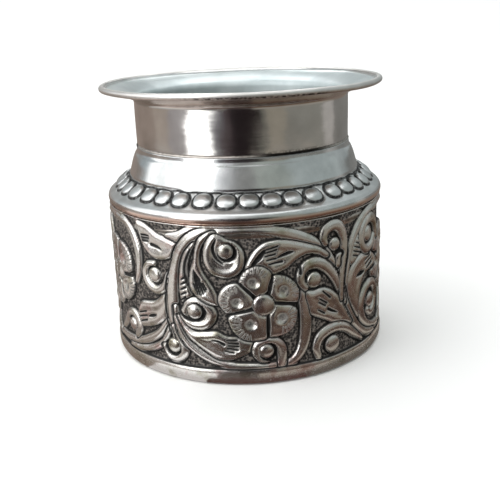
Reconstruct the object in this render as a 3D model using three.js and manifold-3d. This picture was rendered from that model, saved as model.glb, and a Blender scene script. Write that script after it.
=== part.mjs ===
// A small silver kalash: a chased wall under a beaded shoulder, and a straight neck with a flared mouth.
// Millimetres, +Z up. The origin is the centre of the ring that the pot stands on.
import * as THREE from "three";
import { mergeVertices } from "three/addons/utils/BufferGeometryUtils.js";
import Module from "manifold-3d";

const wasm = await Module();
wasm.setup();

// sheet, wire and joints
const bodySheet = 0.7; // wall, shoulder and base plate
const neckSheet = 0.5; // the neck is spun thinner
const wireRadius = 0.35; // the wire inside the rolled rim
const wireClearance = 0.02; // between the wire and the sheet rolled round it
const solderGap = 0.08; // the gap that solder fills, all round each joint
const solderLeg = 0.45; // reach of each fillet
const solderDepth = 1; // how far solder runs into a gap
const contact = 0.015; // what solder keeps from the sheet

// mouth and neck
const potHeight = 76.6;
const rimOverhang = 0.3; // how far the rolled edge stands out past the wall
const neckRadius = 30.5; // outside of the neck
const neckLap = 4; // how far the neck runs down inside the shoulder
const flareAngle = 19; // slope of the flared mouth above level, degrees
const flareFillet = 1.65; // bend between the neck and the flare, on the sheet's middle line
const creaseAngle = 38; // how sharply the flare turns up into the rolled edge, degrees
const creaseDepth = 0.6; // how far the rolled edge stands above the flare
const rollTurn = 265; // how far the edge is rolled round its wire, degrees

// shoulder, outside sizes, each height counted up from the one before
const edgeRise = 1.6; // from the wall's top to the middle of the rounded edge
const slopeRise = 5.5; // from there to the top of the slope that carries the beads
const grooveRise = 0.9; // up to the foot of the plain band
const ridgeRise = 5.5; // up to the ridge on the band
const seamRise = 2.1; // up to the seam with the neck
const collarLength = 0.7; // upright end of the shoulder sheet, against the neck
const ridgeFlare = 0.66; // how far the sheet's middle stands out past the neck at that ridge
const bandFlare = 2.65; // how far the band's foot stands out past the neck
const grooveWidth = 0.35; // from the band's foot to the slope that carries the beads
const edgeOverhang = 0.15; // how far the rounded edge stands out past the wall
const edgeBend = 1.55; // bend of the rounded edge, on the sheet's middle line
const edgeFrom = 54; // where the rounded edge begins, degrees above level
const edgeTo = -35; // where it ends, degrees above level
const skirtLap = 2.4; // how far the shoulder runs down inside the wall
const beadCount = 40;
const beadWidth = 5.3; // round the pot
const beadLength = 5; // down the slope
const beadHeight = 0.85;

// wall and base
const wallRadius = 39.7; // outside of the wall under the rounded edge
const footOverhang = 0.4; // how far the plain foot band stands out past the wall
const wallTop = 43.7;
const lapMargin = 0.3; // plain wall left under the solder inside it, before the sheet is set in
const footBandTop = 4.6;
const footBlend = 0.6; // height, up and down from there, over which the sheet steps out to the foot band
const footBend = 1.9; // bend at the foot, on the sheet's middle line
const footFlange = 2.6; // width of the turned-in ring that the pot stands on
const plateThickness = 0.8;

// chased band: the sheet is set in between the forms, which keep about the height of the wall
const groundDepth = 0.7; // how far the ground is set in
const formDepth = 0.3; // how far the forms' sides run down into the sheet
const crestHeight = 0.1; // how far the middle of a form stands out past the wall
const sideDepth = 0.45; // how far the edge of a petal or knob lies inside the wall's face
const formSlope = 0.5; // width of the sloped side of a stem or leaf
const formCrown = 0.4; // least share of a stem's width that is its crown
const scrollCount = 5; // scrolls round the pot
const drawnWidth = 50; // the drawing of one scroll is laid out on a panel this wide
const drawnHeight = 39.1; // and this high, from the foot band to the wall's top
const drawnMirror = 39.2; // a flower upside down lies at this height less its own

const aroundSteps = 48; // facets round the pot
const bendSteps = 3; // facets in a bend
const bandSteps = 5; // facets down the shoulder's band
const edgeSteps = 4; // facets in the rounded edge
const beadSides = 8;
const beadRings = 4;
const knobSides = 6;
const rollSteps = 9; // facets round the rolled edge and its wire

const radians = THREE.MathUtils.degToRad;

const silver = (color, roughness) => new THREE.MeshStandardMaterial({ color, roughness, metalness: 1 });
const polished = silver(0xc9c6c1, 0.22);
const oxidised = silver(0x8f8880, 0.38);
const solder = silver(0xb4b2ad, 0.45);

const rimRadius = wallRadius + rimOverhang;
const edgeRadius = wallRadius + edgeOverhang;
const footRadius = wallRadius + footOverhang;
const bandRadius = neckRadius + bandFlare;
const edgeHeight = wallTop + edgeRise;
const slopeTop = edgeHeight + slopeRise;
const bandBottom = slopeTop + grooveRise;
const ridgeHeight = bandBottom + ridgeRise;
const seamHeight = ridgeHeight + seamRise;

// Points on an arc of a profile, centred at (r, z), between two directions in degrees.
function arc(r, z, radius, from, to, steps = bendSteps) {
  return Array.from({ length: steps + 1 }, (_, i) => {
    const a = radians(from + ((to - from) * i) / steps);
    return new THREE.Vector2(r + radius * Math.cos(a), z + radius * Math.sin(a));
  });
}

// The outline of a sheet of even thickness along its middle line.
function sheetOutline(line, thickness) {
  const side = (sign) =>
    line.map((p, i) => {
      const before = line[Math.max(i - 1, 0)];
      const after = line[Math.min(i + 1, line.length - 1)];
      const into = p.clone().sub(before);
      const out = after.clone().sub(p);
      const d1 = (into.length() ? into : out).clone().normalize();
      const d2 = (out.length() ? out : into).clone().normalize();
      const mitre = d1.clone().add(d2).normalize();
      const reach = (thickness / 2) / mitre.dot(d1);
      return new THREE.Vector2(p.x - sign * mitre.y * reach, p.y + sign * mitre.x * reach);
    });
  return [...side(1), ...side(-1).reverse()];
}

// A closed outline in (radius, height) turned about the pot's axis.
function turned(outline) {
  const points = THREE.ShapeUtils.area(outline) > 0 ? outline : [...outline].reverse();
  const geometry = new THREE.LatheGeometry([...points, points[0]], aroundSteps);
  return geometry.rotateX(Math.PI / 2);
}

function toSolid(geometry) {
  const bare = geometry.clone().deleteAttribute("normal").deleteAttribute("uv");
  const merged = mergeVertices(bare, 1e-4);
  return new wasm.Manifold(
    new wasm.Mesh({
      numProp: 3,
      vertProperties: merged.attributes.position.array,
      triVerts: new Uint32Array(merged.index.array),
    }),
  );
}

function toGeometry(solid) {
  const mesh = solid.getMesh();
  const geometry = new THREE.BufferGeometry();
  geometry.setAttribute("position", new THREE.BufferAttribute(mesh.vertProperties, 3));
  geometry.setIndex(new THREE.BufferAttribute(mesh.triVerts, 1));
  return geometry;
}

const pot = new THREE.Group();

function addPiece(name, geometry, material) {
  const mesh = new THREE.Mesh(geometry, material);
  mesh.name = name;
  pot.add(mesh);
}

// The rolled edge sets where the wire lies.
const rollRadius = wireRadius + wireClearance + neckSheet / 2;
const rollCentre = new THREE.Vector2(
  rimRadius - rollRadius - neckSheet / 2,
  potHeight - rollRadius - neckSheet / 2,
);

function rimWire() {
  return turned(arc(rollCentre.x, rollCentre.y, wireRadius, 0, 360 * (1 - 1 / rollSteps), rollSteps - 1));
}

// One sheet: straight neck, bend, flare, a crease, and the edge rolled outwards and down round the wire.
function neckCollar() {
  const middle = neckRadius - neckSheet / 2;
  const steep = radians(flareAngle + creaseAngle);
  const rollStart = 90 + flareAngle + creaseAngle;
  const roll = arc(rollCentre.x, rollCentre.y, rollRadius, rollStart, rollStart - rollTurn, rollSteps);
  const rise = creaseDepth / Math.sin(radians(creaseAngle));
  const crease = new THREE.Vector2(
    roll[0].x - rise * Math.cos(steep),
    roll[0].y - rise * Math.sin(steep),
  );
  const corner = crease.y - (crease.x - middle) * Math.tan(radians(flareAngle));
  const back = flareFillet * Math.tan(radians(90 - flareAngle) / 2);
  const bend = arc(middle + flareFillet, corner - back, flareFillet, 180, 90 + flareAngle);
  const bottom = new THREE.Vector2(middle, seamHeight - neckLap);
  return turned(sheetOutline([bottom, ...bend, crease, ...roll], neckSheet));
}

// The middle line of the shoulder, from the neck seam out and down to the end of the skirt.
const skirtMiddle = wallRadius - bodySheet - solderGap - bodySheet / 2;
const skirtBottom = wallTop - skirtLap;

function shoulderLine() {
  const half = bodySheet / 2;
  const collar = neckRadius + solderGap + half;
  const band = new THREE.SplineCurve([
    new THREE.Vector2(collar, seamHeight - collarLength),
    new THREE.Vector2(neckRadius + ridgeFlare, ridgeHeight),
    new THREE.Vector2(bandRadius - half, bandBottom),
  ]).getPoints(bandSteps);
  const seat = new THREE.Vector2(bandRadius + grooveWidth - half, slopeTop);
  const edgeCentre = new THREE.Vector2(edgeRadius - half - edgeBend, edgeHeight);
  const edge = arc(edgeCentre.x, edgeCentre.y, edgeBend, edgeFrom, edgeTo, edgeSteps);
  const joggle = new THREE.Vector2(skirtMiddle, wallTop + half);
  const top = new THREE.Vector2(collar, seamHeight);
  return [top, ...band, seat, ...edge, joggle, new THREE.Vector2(skirtMiddle, skirtBottom)];
}

// The beads sit on the slope's outer face, whose ends follow the band's points in the outline.
function shoulder() {
  const outline = sheetOutline(shoulderLine(), bodySheet);
  const high = outline[bandSteps + 2];
  const low = outline[bandSteps + 3];
  let solid = toSolid(turned(outline));
  for (let i = 0; i < beadCount; i++) {
    const bead = new THREE.SphereGeometry(0.5, beadSides, beadRings);
    bead.scale(beadLength, beadWidth, 2 * beadHeight);
    bead.rotateY(Math.atan2(high.y - low.y, low.x - high.x));
    bead.translate((high.x + low.x) / 2, 0, (high.y + low.y) / 2);
    bead.rotateZ(((i + 0.5) * 2 * Math.PI) / beadCount);
    solid = solid.add(toSolid(bead));
  }
  return toGeometry(solid);
}

// The chased forms of one scroll. Each is a line of (u, height over the foot band, half width) along its
// middle, with u round the pot from the scroll's own middle.
const archScroll = {
  upsideDown: false,
  forms: [
    // trunk and the arch over the flower
    [[-20.3, 4.4, 0.8], [-21.4, 16.4, 1.6], [-19.5, 28.9, 1.3], [-14, 36.2, 1.3], [-3, 38, 0.9],
      [9, 36.8, 1.2], [18.5, 32, 1.7], [25.3, 23.4, 1.3], [31, 9.6, 1.1], [38.5, 2, 1]],
    // stem under the flower and up its right side
    [[-19.8, 11.4, 0.8], [-14.4, 4.2, 0.9], [-5, 1, 0.8], [10, 1, 0.9], [15.2, 9.4, 1.5], [14.3, 19.4, 0.9]],
    // slip and leaf along the trunk
    [[-15.2, 33, 0.6], [-17.7, 24, 1.3], [-17.2, 18.4, 1]],
    [[-9.6, 36.8, 0.9], [-12.9, 31.4, 1.1], [-13.9, 25.9, 1.7], [-12.4, 21, 2], [-9, 18.6, 0.6]],
    // leaf under the flower
    [[-18.4, 12.2, 1], [-14.2, 8.2, 2], [-9, 6.6, 3.3], [-4, 6, 3], [0.4, 6.2, 1]],
    // leaf over the flower
    [[21.5, 29.2, 0.6], [16, 31.4, 1.4], [10, 31, 3.4], [4.5, 31.3, 3.1], [0.6, 28.8, 0.8]],
    // leaf at the right
    [[16.2, 17.7, 1.6], [20, 15.9, 3.8], [24.5, 13.6, 3.6], [28.6, 10.2, 1.7], [31, 7.8, 0.4]],
    // volutes: beside the trunk, hanging from the arch, under the flower, inside the arch, at the foot
    [[-14.6, 11.8, 1.2], [-10.1, 14.4, 1.3], [-11, 18, 1.3], [-15, 18.8, 1]],
    [[-10, 32.4, 1.3], [-8.4, 27.6, 1.5], [-4, 27.4, 1.5], [-2, 31, 1.3], [-3.6, 34.4, 1.1]],
    [[8.6, 2.6, 1.1], [7.4, 6.8, 1.2], [3, 6.9, 1.1], [2, 3.4, 0.8]],
    [[26.4, 19, 0.8], [19.8, 27.1, 1.4], [14.6, 25.2, 1.1], [15.4, 21.2, 0.6]],
    [[34.5, 2, 0.7], [27, 7.4, 1.2], [20.4, 6.4, 1.3], [19, 1.6, 0.9]],
    // a bud
    [[27.4, 20, 0.6], [28.4, 30, 1.2], [25.6, 36.3, 1.4], [21.4, 33.4, 0.9]],
  ],
  // the round knobs that the volutes close on: u, height and radius
  knobs: [[-21.9, 4.6, 2.6], [-14.9, 15.7, 2.2], [-5.6, 31.8, 2.1], [4.6, 4.4, 1.9],
    [18.1, 22.8, 2.2], [24, 3.2, 2.4], [24.8, 31.3, 1.9]],
};

// The second drawing, whose flower hangs upside down.
const lowScroll = {
  upsideDown: true,
  forms: [
    // stem at the left, the arch over the flower and down its right side
    [[-20.9, 7.4, 0.6], [-21, 20.4, 0.9], [-17.6, 31.2, 1.1], [-11, 36.4, 1.4], [0, 38.1, 0.8],
      [10.2, 37.1, 1.1], [16.2, 30.6, 1.2], [15.8, 22, 0.6]],
    // leaves at the left
    [[-18.4, 24.2, 0.8], [-16, 28, 2], [-14, 31.4, 0.8]],
    [[-16, 8.2, 0.9], [-17.4, 15.4, 2.4], [-14.6, 21.6, 3.3], [-8.6, 22.8, 2.4], [-3.8, 21.4, 0.6]],
    // two stems at the right, low
    [[27.6, 17.4, 0.6], [23.6, 8, 0.9], [15, 3.2, 1], [1, 1.4, 0.8]],
    [[27.2, 9.9, 0.5], [20.4, 2.6, 0.8], [9, 0.5, 0.6]],
    // leaves at the right
    [[15.6, 11, 2.2], [20, 12.6, 3.2], [25, 15.8, 2.8], [27.4, 23.4, 0.5]],
    [[17.2, 37.6, 0.8], [20.4, 34, 2.6], [25.6, 31.8, 2.8], [31.6, 33, 0.8]],
    // volutes: low on the left, high on the left, at the right, low in the middle
    [[0, 1, 0.9], [-10.6, 4.4, 1.2], [-12.8, 12, 1.3], [-7, 15.4, 1.2], [-3.4, 10, 0.9]],
    [[-4, 32.6, 0.8], [-8.6, 35, 1.3], [-13.2, 31, 1.2], [-9, 26.2, 1.1]],
    [[27, 22, 0.8], [21, 20.6, 1], [19.4, 25.6, 0.9]],
    [[5, 6, 0.7], [11, 10.8, 1.1], [14, 5.8, 0.8]],
  ],
  knobs: [[-8, 10.8, 2.2], [-9.9, 30.7, 2.2], [22.9, 24.3, 2.1], [10.6, 6.6, 1.9]],
};

// round the pot from the front
const scrolls = [archScroll, lowScroll, archScroll, archScroll, lowScroll];

// The flower in the middle of each scroll: its place, its knob's radius, and where its petals point in degrees.
const flower = { u: 3.8, height: 17.7, knob: 2.75 };
const petalAngles = [104, 32, -43, -128, 165];
// Half of a petal's edge, out along it and across it from the flower's middle.
const petalEdge = [[2.9, 1.4], [7, 4.2], [10.5, 2]];

const groundRadius = wallRadius - groundDepth;
const rootRadius = groundRadius - formDepth;
const sideRadius = wallRadius - sideDepth;
const crestRadius = wallRadius + crestHeight;

// A closed body from points (u, height, radius) and faces, laid round the wall at one of the scrolls.
function chasedForm(place, points, faces) {
  const step = (2 * Math.PI) / scrollCount;
  const positions = points.flatMap(([u, height, radius]) => {
    const angle = step * (place + u / drawnWidth);
    const z = footBandTop + (height * (wallTop - footBandTop)) / drawnHeight;
    return [radius * Math.sin(angle), -radius * Math.cos(angle), z];
  });
  return new wasm.Manifold(
    new wasm.Mesh({
      numProp: 3,
      vertProperties: new Float32Array(positions),
      triVerts: new Uint32Array(faces.flat()),
    }),
  );
}

// A stem or leaf: a ridge with sloped sides and a flat crown along its line.
function ridge(place, line) {
  const points = line.flatMap(([u, height, half], i) => {
    const before = line[Math.max(i - 1, 0)];
    const after = line[Math.min(i + 1, line.length - 1)];
    const along = new THREE.Vector2(after[0] - before[0], after[1] - before[1]).normalize();
    const crown = Math.max(half - formSlope, half * formCrown);
    const at = (across, radius) => [u - along.y * across, height + along.x * across, radius];
    return [at(-half, rootRadius), at(-crown, crestRadius), at(crown, crestRadius), at(half, rootRadius)];
  });
  const faces = [[0, 1, 2], [0, 2, 3]];
  for (let i = 0; i + 4 < points.length; i += 4) {
    for (let j = 0; j < 4; j++) {
      const next = (j + 1) % 4;
      faces.push([i + j, i + 4 + j, i + 4 + next], [i + j, i + 4 + next, i + next]);
    }
  }
  const last = points.length - 4;
  faces.push([last, last + 2, last + 1], [last, last + 3, last + 2]);
  return chasedForm(place, points, faces);
}

// A petal or knob: upright sides, and from their tops a rise to its middle.
function dome(place, edge) {
  const n = edge.length;
  const flat = edge.map(([u, height]) => new THREE.Vector2(u, height));
  const round = THREE.ShapeUtils.area(flat) > 0 ? edge : [...edge].reverse();
  const middle = [0, 1].map((k) => edge.reduce((sum, p) => sum + p[k], 0) / n);
  const points = [
    ...round.map(([u, height]) => [u, height, rootRadius]),
    ...round.map(([u, height]) => [u, height, sideRadius]),
    [...middle, rootRadius],
    [...middle, crestRadius],
  ];
  const faces = [];
  for (let i = 0; i < n; i++) {
    const next = (i + 1) % n;
    faces.push([i, next, n + next], [i, n + next, n + i]);
    faces.push([2 * n, next, i], [2 * n + 1, n + i, n + next]);
  }
  return chasedForm(place, points, faces);
}

function roundEdge(u, height, radius) {
  return Array.from({ length: knobSides }, (_, i) => {
    const a = (i * 2 * Math.PI) / knobSides;
    return [u + radius * Math.cos(a), height + radius * Math.sin(a)];
  });
}

function petalOutline(degrees) {
  const a = radians(degrees);
  const edge = [...petalEdge, ...[...petalEdge].reverse().map(([out, across]) => [out, -across])];
  return edge.map(([out, across]) => [
    flower.u + out * Math.cos(a) - across * Math.sin(a),
    flower.height + out * Math.sin(a) + across * Math.cos(a),
  ]);
}

function scrollForms(scroll, place) {
  const flowerParts = [...petalAngles.map(petalOutline), roundEdge(flower.u, flower.height, flower.knob)];
  const hung = (edge) => (scroll.upsideDown ? edge.map(([u, height]) => [u, drawnMirror - height]) : edge);
  return [
    ...scroll.forms.map((line) => ridge(place, line)),
    ...scroll.knobs.map((knob) => dome(place, roundEdge(...knob))),
    ...flowerParts.map((edge) => dome(place, hung(edge))),
  ];
}

const flangeInner = footRadius - footBend - footFlange;

// One sheet: the lap at the top, the chased band, the plain foot band, and the ring turned in under the pot.
function bodyWall() {
  const half = bodySheet / 2;
  const foot = footRadius - half;
  const lapBottom = skirtBottom - solderLeg - lapMargin;
  const bandCorners = 5;
  const line = [
    new THREE.Vector2(wallRadius - half, wallTop),
    new THREE.Vector2(wallRadius - half, lapBottom),
    new THREE.Vector2(groundRadius - half, lapBottom - groundDepth),
    new THREE.Vector2(groundRadius - half, footBandTop + footBlend),
    new THREE.Vector2(foot, footBandTop - footBlend),
    ...arc(foot - footBend, footBend + half, footBend, 0, -90),
    new THREE.Vector2(flangeInner, half),
  ];
  // The forms are kept between the sheet's middle, the top of the wall and the foot band.
  const room = [
    ...line.slice(0, bandCorners),
    new THREE.Vector2(footRadius, footBandTop - footBlend),
    new THREE.Vector2(footRadius, wallTop),
  ];
  let forms = null;
  for (const [place, scroll] of scrolls.entries()) {
    for (const form of scrollForms(scroll, place)) forms = forms ? forms.add(form) : form;
  }
  const sheet = toSolid(turned(sheetOutline(line, bodySheet)));
  return toGeometry(sheet.add(forms.intersect(toSolid(turned(room)))));
}

// The base plate lies on the turned-in ring, inside the foot band.
const plateBottom = bodySheet + solderGap;
const plateRadius = footRadius - bodySheet - footBend;

function basePlate() {
  return turned([
    new THREE.Vector2(0, plateBottom),
    new THREE.Vector2(plateRadius, plateBottom),
    new THREE.Vector2(plateRadius, plateBottom + plateThickness),
    new THREE.Vector2(0, plateBottom + plateThickness),
  ]);
}

// A ring of solder: a film in the gap between two sheets, and a fillet over the end of the lapped one.
// The corner lies on the sheet that it wets. Along runs on past the lapped sheet's end, away crosses the gap.
function solderRing(corner, along, away) {
  const at = (a, b) =>
    new THREE.Vector2(corner.x + along.x * a + away.x * b, corner.y + along.y * a + away.y * b);
  return turned([
    at(solderLeg, contact),
    at(-solderDepth, contact),
    at(-solderDepth, solderGap - contact),
    at(contact, solderGap - contact),
    at(contact, solderGap + solderLeg),
  ]);
}

const up = new THREE.Vector2(0, 1);
const down = new THREE.Vector2(0, -1);
const outward = new THREE.Vector2(1, 0);
const inward = new THREE.Vector2(-1, 0);
const neckSeam = new THREE.Vector2(neckRadius, seamHeight);
const shoulderSeam = new THREE.Vector2(wallRadius - bodySheet, skirtBottom);
const baseSeam = new THREE.Vector2(flangeInner, plateBottom);

addPiece("rim_wire", rimWire(), solder);
addPiece("neck_collar", neckCollar(), polished);
addPiece("neck_solder_seam", solderRing(neckSeam, up, outward), solder);
addPiece("shoulder", shoulder(), polished);
addPiece("shoulder_solder_seam", solderRing(shoulderSeam, down, inward), solder);
addPiece("body_wall", bodyWall(), oxidised);
addPiece("base_plate", basePlate(), polished);
addPiece("base_solder_seam", solderRing(baseSeam, inward, down), solder);

export default pot;
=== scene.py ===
import bpy, math
import numpy as np
from functools import partial
from mathutils import Matrix, Vector


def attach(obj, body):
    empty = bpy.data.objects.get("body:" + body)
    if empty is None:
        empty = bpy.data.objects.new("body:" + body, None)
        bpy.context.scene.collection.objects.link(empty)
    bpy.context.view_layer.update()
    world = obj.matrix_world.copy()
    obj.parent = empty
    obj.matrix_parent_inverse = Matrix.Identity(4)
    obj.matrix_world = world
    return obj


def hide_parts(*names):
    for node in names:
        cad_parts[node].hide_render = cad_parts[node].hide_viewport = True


# A small silver kalash on a pale sweep. Sizes are in mm and turned to metres where the meshes are made.
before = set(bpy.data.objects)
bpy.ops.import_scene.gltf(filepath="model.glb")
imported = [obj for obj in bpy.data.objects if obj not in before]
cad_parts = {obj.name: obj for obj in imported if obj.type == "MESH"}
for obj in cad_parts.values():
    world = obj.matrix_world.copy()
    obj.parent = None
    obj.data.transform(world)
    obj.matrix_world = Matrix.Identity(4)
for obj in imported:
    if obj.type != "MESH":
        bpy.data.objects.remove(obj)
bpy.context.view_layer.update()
mm = 0.001
turn = 250  # mm once round the wall
print("frame loaded")


def arc(r, z, radius, fromAngle, toAngle, steps):
    angles = np.radians(np.linspace(fromAngle, toAngle, steps + 1))
    return [(r + radius * math.cos(a), z + radius * math.sin(a)) for a in angles]


def evenLine(points, step):  # the same line with its points no further apart than step
    line = [points[0]]
    for a, b in zip(points, points[1:]):
        parts = max(1, math.ceil(math.dist(a, b) / step))
        line += [tuple(np.array(a) + (np.array(b) - a) * i / parts) for i in range(1, parts + 1)]
    return line


def smoothLine(points, parts=5, closed=False):  # a curve through the points, other columns carried along
    p = np.array(points, float)
    ends = (p[-1:], p[:2]) if closed else (2 * p[:1] - p[1:2], 2 * p[-1:] - p[-2:-1])
    q = np.vstack([ends[0], p, ends[1]])
    t = np.linspace(0, 1, parts, endpoint=False)[:, None]
    pieces = []
    for a, b, c, d in zip(q, q[1:], q[2:], q[3:]):
        bent, twisted = 2 * a - 5 * b + 4 * c - d, 3 * b - a - 3 * c + d
        pieces.append(0.5 * (2 * b + (c - a) * t + bent * t ** 2 + twisted * t ** 3))
    return np.vstack(pieces + [p[:1] if closed else p[-1:]])


def sheetSection(middle, thickness):  # both sides of a sheet along its middle line, as one closed section
    p = np.array(middle, float)
    along = np.gradient(p, axis=0)
    along /= np.linalg.norm(along, axis=1)[:, None]
    across = np.stack([-along[:, 1], along[:, 0]], 1) * np.reshape(thickness, (-1, 1)) / 2
    section = np.vstack([p + across, (p - across)[::-1], (p + across)[:1]])
    return [tuple(q) for q in section]


def turnSection(name, section, steps, angle=2 * math.pi):  # a section in (radius, height), drawn, then spun
    bpy.ops.object.select_all(action="DESELECT")
    bpy.ops.mesh.primitive_plane_add(size=mm)
    piece = bpy.context.object
    piece.name = piece.data.name = name
    bpy.ops.object.mode_set(mode="EDIT")
    bpy.ops.mesh.select_all(action="SELECT")
    bpy.ops.mesh.merge(type="CENTER")
    bpy.ops.transform.translate(value=(section[0][0] * mm, 0, section[0][1] * mm))
    for a, b in zip(section, section[1:]):
        move = ((b[0] - a[0]) * mm, 0, (b[1] - a[1]) * mm)
        bpy.ops.mesh.extrude_vertices_move(TRANSFORM_OT_translate={"value": move})
    bpy.ops.mesh.select_all(action="SELECT")
    bpy.ops.mesh.spin(steps=steps, angle=angle, center=(0, 0, 0), axis=(0, 0, 1))
    bpy.ops.mesh.select_all(action="SELECT")
    bpy.ops.mesh.remove_doubles(threshold=0.006 * mm)
    bpy.ops.mesh.normals_make_consistent(inside=False)
    bpy.ops.object.mode_set(mode="OBJECT")
    bpy.ops.object.shade_smooth()
    return piece


def readPoints(piece):  # azimuth from the front in radians, radius and height in mm
    co = np.empty(len(piece.data.vertices) * 3)
    piece.data.vertices.foreach_get("co", co)
    x, y, z = co.reshape(-1, 3).T / mm
    return np.arctan2(x, -y), np.hypot(x, y), z


def writePoints(piece, azimuth, r, z):
    co = np.stack([r * np.sin(azimuth), -r * np.cos(azimuth), z], 1) * mm
    piece.data.vertices.foreach_set("co", co.ravel())
    piece.data.update()


def paint(piece, name, values):  # one number a point, read by the finishes
    layer = piece.data.attributes.new(name, "FLOAT", "POINT")
    layer.data.foreach_set("value", np.asarray(values, np.float32))


def ripple(azimuth, z, seed, size):  # slow unevenness of hand work, about -1 to 1, size in mm
    rng = np.random.default_rng(seed)
    waves, phase, spread = 14, 6.3, 4.5
    total = 0
    for _ in range(waves):
        turns = rng.integers(1, max(2, round(turn / size)) + 1)
        slant, start = rng.uniform(-phase, phase), rng.uniform(0, phase)
        total = total + np.sin(turns * azimuth + z * slant / size + start)
    return total / spread


def ramp(x, low, high):  # 0 to 1 with soft ends
    t = np.clip((x - low) / (high - low), 0, 1)
    return t * t * (3 - 2 * t)


# The chased band's drawing lies flat: u runs round the wall from the front and z up it. Five scrolls, 50 mm
# each, fill a turn. A scroll lists its shapes in the order they lie on each other, like ones in one entry:
#   vine    (u, z, half width) along the middle of a stem
#   leaf, petal, scroll    (u, z) round its edge
#   knob    u, z, radius, and where the hollow round it is widest: degrees and mm
#   dish    u, z, radius, and the direction of its raised lip
#   cut     (u, z, half width) along a chased line
#   fan     u, z of the middle, inner and outer reach, from and to degrees, number of lines

# mm, heights from the wall's plain surface
chasing = dict(repeat=50, mirror=48.4, bottom=4.5, ground=-0.92, top=0.12, groove=0.3, grooveWidth=0.24)
# height of a form's rim, distance over which it rises, hollow in its middle, growth past its drawn edge
forms = dict(vine=(-0.6, 2.2, 0, 0.35), leaf=(-0.5, 1.8, 0.28, 0.35), petal=(-0.28, 1.5, 0, 0.12),
             scroll=(-0.55, 1.6, 0.5, 0.25))
knobs = dict(top=0.25, foot=-0.6, ring=-0.62, ringFall=0.3)
dishes = dict(depth=0.75, lip=0.16, lipWidth=0.4, shadowShift=0.45)
cuts = dict(deep=0.3, fine=0.12)

flower = [
    ("petal", [(0.8, 25), (-2.3, 28.4), (-1.6, 30.9), (0.3, 32.5), (2.5, 33), (4.6, 32.3), (6.1, 30.3),
        (5.1, 26.2)]),
    ("petal", [(5.3, 26), (6.5, 29.9), (8.5, 30.1), (10.8, 29.1), (12.6, 27.2), (13.4, 25), (13.2, 22.9),
        (12.1, 21.3), (6.6, 23.3)]),
    ("petal", [(6.6, 22.5), (12.2, 20.9), (12.8, 18.6), (12.3, 16.3), (10.8, 14.5), (8.6, 13.5), (6.3, 13.3),
        (5, 14), (5, 19.2)]),
    ("petal", [(4.7, 19.2), (4.6, 13.7), (2.6, 12.7), (0, 12.6), (-2.4, 13.4), (-4.3, 15.1), (-5.3, 17.3),
        (-5.1, 19.6), (1, 21.7)]),
    ("petal", [(1, 22.3), (-5, 20.3), (-7, 21.3), (-8, 23.4), (-7.7, 25.8), (-6.2, 27.7), (-4.2, 28.5),
        (-2.5, 28.2), (0.6, 24.8)]),
    ("dish", (1.4, 28.7, 1.9, -10), (9, 25.8, 1.9, 225), (8.4, 18.4, 1.9, 200), (0.4, 17.3, 1.9, -5),
        (-3, 23.4, 1.8, -15)),
    ("cut", [(5.2, 24.6, 0.2), (5.7, 26.6, 0.25), (6.4, 29.6, 0.15)],
        [(6.2, 22.8, 0.3), (9.4, 22.3, 0.4), (12.9, 21.9, 0.3)],
        [(4.9, 19.8, 0.3), (4.8, 16.6, 0.4), (4.8, 13.4, 0.3)],
        [(1.6, 21.4, 0.25), (-1.8, 20.8, 0.3), (-5.6, 20, 0.25)],
        [(2, 24.2, 0.3), (0.2, 26, 0.4), (-2.2, 28.4, 0.3)]),
    ("fan", (1.4, 28.7, 2.7, 4.3, 35, 180, 9), (9, 25.8, 2.6, 4.3, -25, 130, 10),
        (8.4, 18.4, 2.5, 4.3, -85, 40, 8), (0.4, 17.3, 2.7, 5, 150, 265, 9),
        (-3, 23.4, 2.6, 4.3, 95, 230, 9)),
    ("knob", (3.8, 22.3, 3, 90, 0.1)),
]

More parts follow.
